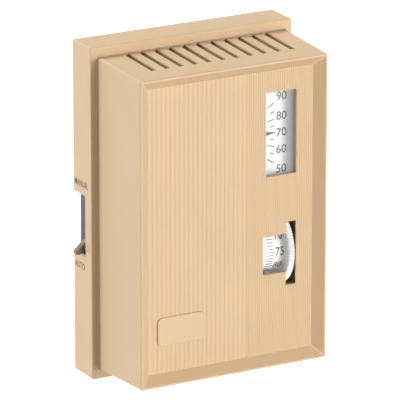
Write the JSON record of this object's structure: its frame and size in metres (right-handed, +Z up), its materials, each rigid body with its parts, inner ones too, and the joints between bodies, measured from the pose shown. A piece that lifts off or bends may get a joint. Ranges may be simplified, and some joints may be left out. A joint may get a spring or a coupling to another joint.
{
  "type": "wall thermostat",
  "caption": "Wall thermostat with a ribbed slip-on cover, dial thermometer window, thumbwheel set point drum, side index lever and pneumatic works inside.",
  "frame": {"origin": "on the wall, at the middle of the back face of the steel wall plate", "axes": "+Z up along the cover's height, +Y into the wall, +X to the right seen from the front; the front faces -Y"},
  "size_m": [0.0614, 0.0487, 0.0894],
  "materials": {
    "cover_plastic": "moulded beige, satin, ribbed front",
    "charcoal_plastic": "moulded charcoal grey, satin",
    "lever_plastic": "moulded warm grey, satin",
    "white_scale": "white with printed grey figures",
    "white_wheel": "moulded white, knurled edge",
    "pointer_paint": "matt black",
    "clear_lens": "clear moulded acrylic",
    "steel_hardware": "zinc plated, turned",
    "spring_steel": "rolled strip",
    "zinc_plate": "zinc plated pressing",
    "die_casting": "as cast, fine grain",
    "brass_parts": "turned, lightly dulled",
    "bimetal": "rolled two-metal strip",
    "rubber_seals": "matt black"
  },
  "bodies": {
    "base": {"wall_plate": "zinc_plate", "mounting_base": "charcoal_plastic", "wall_screw_upper": "steel_hardware", "wall_screw_lower": "steel_hardware", "base_screw_1": "steel_hardware", "base_screw_2": "steel_hardware", "supply_nipple": "brass_parts", "output_nipple": "brass_parts", "supply_seal": "rubber_seals", "output_seal": "rubber_seals", "relay_body": "die_casting", "relay_diaphragm": "rubber_seals", "relay_cap": "die_casting", "relay_screw_1": "brass_parts", "relay_screw_2": "brass_parts", "relay_screw_3": "brass_parts", "relay_screw_4": "brass_parts", "gauge_port_plug": "brass_parts", "nozzle_block": "die_casting", "nozzle": "brass_parts", "nozzle_block_screw_1": "steel_hardware", "nozzle_block_screw_2": "steel_hardware", "flapper_stand": "zinc_plate", "flapper_pin": "steel_hardware", "flapper_spring": "spring_steel", "lever_stand": "zinc_plate", "lever_pin": "steel_hardware", "dial_bracket": "zinc_plate", "bracket_screw_1": "steel_hardware", "bracket_screw_2": "steel_hardware", "index_rivet": "steel_hardware", "valve_body": "die_casting", "detent_spring": "spring_steel"},
    "cover": {"front_cover": "cover_plastic", "cover_screw_left": "steel_hardware", "cover_screw_right": "steel_hardware", "thermometer_lens": "clear_lens", "scale_plate": "white_scale", "thermometer_coil": "bimetal", "coil_bracket": "spring_steel", "scale_screw_1": "brass_parts", "scale_screw_2": "brass_parts"},
    "pointer": {"thermometer_pointer": "pointer_paint", "thermometer_arbor": "steel_hardware"},
    "dial": {"dial_drum": "white_scale", "thumbwheel": "white_wheel", "setpoint_cam": "brass_parts", "dial_shaft": "steel_hardware"},
    "strip_lever": {"setpoint_lever": "zinc_plate", "bimetal_strip": "bimetal", "strip_clamp": "spring_steel", "clamp_screw": "brass_parts"},
    "flapper": {"flapper_lever": "spring_steel"},
    "sensitivity": {"sensitivity_slider": "brass_parts"},
    "calibration": {"calibration_screw": "brass_parts"},
    "index": {"index_lever": "lever_plastic"},
    "valve": {"valve_stem": "brass_parts"}
  },
  "joints": [
    {"name": "cover_pull_off", "type": "slide", "parent": "base", "child": "cover", "axis": [0, -1, 0], "range_m": [0, 0.045]},
    {"name": "thermometer_turn", "type": "hinge", "parent": "cover", "child": "pointer", "pos_m": [0.0022, -0.0263, 0.0198], "axis": [0, 1, 0], "range_deg": [-29.9, 33.1], "stiffness_Nm_per_rad": 0.0005},
    {"name": "setpoint_dial", "type": "hinge", "parent": "base", "child": "dial", "pos_m": [0.013, -0.0208, -0.0116], "axis": [1, 0, 0], "range_deg": [-73, 146]},
    {"name": "strip_lever_tilt", "type": "hinge", "parent": "base", "child": "strip_lever", "pos_m": [0.0078, -0.0096, 0.0024], "axis": [1, 0, 0], "range_deg": [-1.2, 2.3]},
    {"name": "flapper_tilt", "type": "hinge", "parent": "base", "child": "flapper", "pos_m": [-0.0055, -0.0076, 0.009], "axis": [1, 0, 0], "range_deg": [-1.1, 1.5], "stiffness_Nm_per_rad": 0.02, "deforming": ["flapper_spring"]},
    {"name": "sensitivity_slide", "type": "slide", "parent": "flapper", "child": "sensitivity", "axis": [0, 0, 1], "range_m": [-0.0022, 0.0022]},
    {"name": "calibration_turn", "type": "hinge", "parent": "flapper", "child": "calibration", "pos_m": [-0.0055, -0.0105, 0.0336], "axis": [0, 1, 0], "range_deg": [-180, 180]},
    {"name": "index_lever_turn", "type": "hinge", "parent": "base", "child": "index", "pos_m": [-0.014, -0.0054, -0.00355], "axis": [0, 1, 0], "range_deg": [0, 43]},
    {"name": "valve_stem_slide", "type": "slide", "parent": "base", "child": "valve", "axis": [0, 0, 1], "range_m": [-0.00324, 0]}
  ],
  "couplings": [
    {"joint": "strip_lever_tilt", "follows": "setpoint_dial", "ratio": 0.01495},
    {"joint": "valve_stem_slide", "follows": "index_lever_turn", "m_per_rad": -0.0042975}
  ]
}
